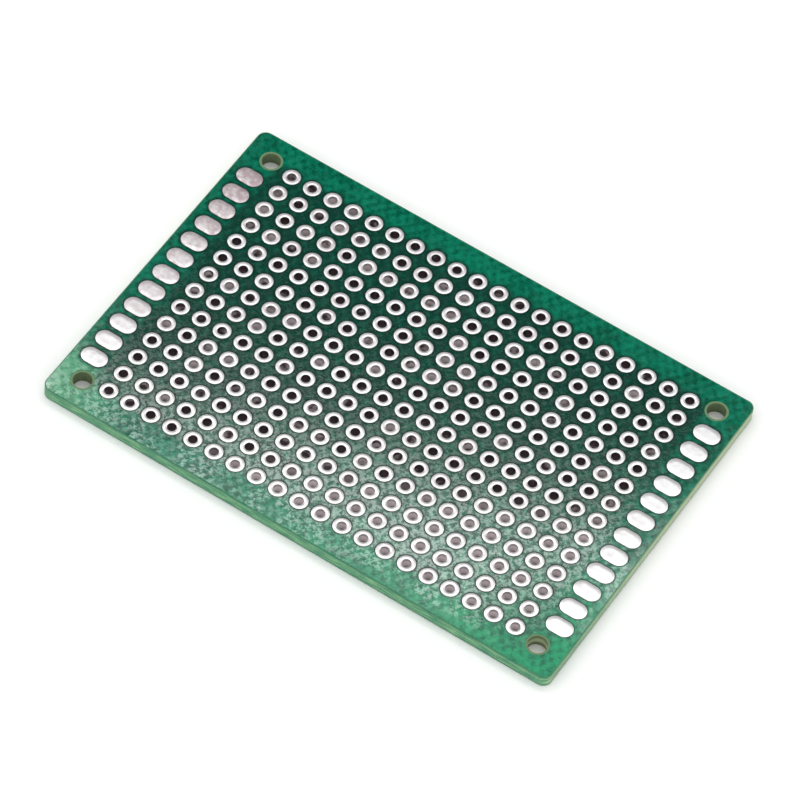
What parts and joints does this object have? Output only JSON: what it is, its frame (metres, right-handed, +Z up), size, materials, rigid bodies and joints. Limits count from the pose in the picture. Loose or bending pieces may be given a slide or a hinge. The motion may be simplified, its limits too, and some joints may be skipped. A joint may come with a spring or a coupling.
{
  "type": "double-sided perfboard",
  "caption": "Flat green prototyping board with round corners, a grid of plated-through lead holes, oval solder pads along the short edges and a mounting hole in each corner.",
  "frame": {"origin": "under the middle of the board, on the surface that its lower edge pads rest on", "axes": "+X along the long side, +Y along the short side, +Z up through the board's thickness"},
  "size_m": [0.06, 0.04, 0.0016],
  "materials": {
    "laminate": "bare glass-epoxy laminate, pale yellow-green and slightly translucent, with routed edges",
    "solder_mask": "glossy emerald-green solder mask with a faint glass-weave texture",
    "tinned_copper": "hot-dipped tin over copper, bright and slightly uneven"
  },
  "bodies": {
    "root": {"laminate": "laminate", "top_solder_mask": "solder_mask", "bottom_solder_mask": "solder_mask", "top_edge_pads_left": "tinned_copper", "top_edge_pads_right": "tinned_copper", "bottom_edge_pads_left": "tinned_copper", "bottom_edge_pads_right": "tinned_copper", "plated_holes_row_1": "tinned_copper", "plated_holes_row_2": "tinned_copper", "plated_holes_row_3": "tinned_copper", "plated_holes_row_4": "tinned_copper", "plated_holes_row_5": "tinned_copper", "plated_holes_row_6": "tinned_copper", "plated_holes_row_7": "tinned_copper", "plated_holes_row_8": "tinned_copper", "plated_holes_row_9": "tinned_copper", "plated_holes_row_10": "tinned_copper", "plated_holes_row_11": "tinned_copper", "plated_holes_row_12": "tinned_copper", "plated_holes_row_13": "tinned_copper", "plated_holes_row_14": "tinned_copper"}
  },
  "joints": []
}
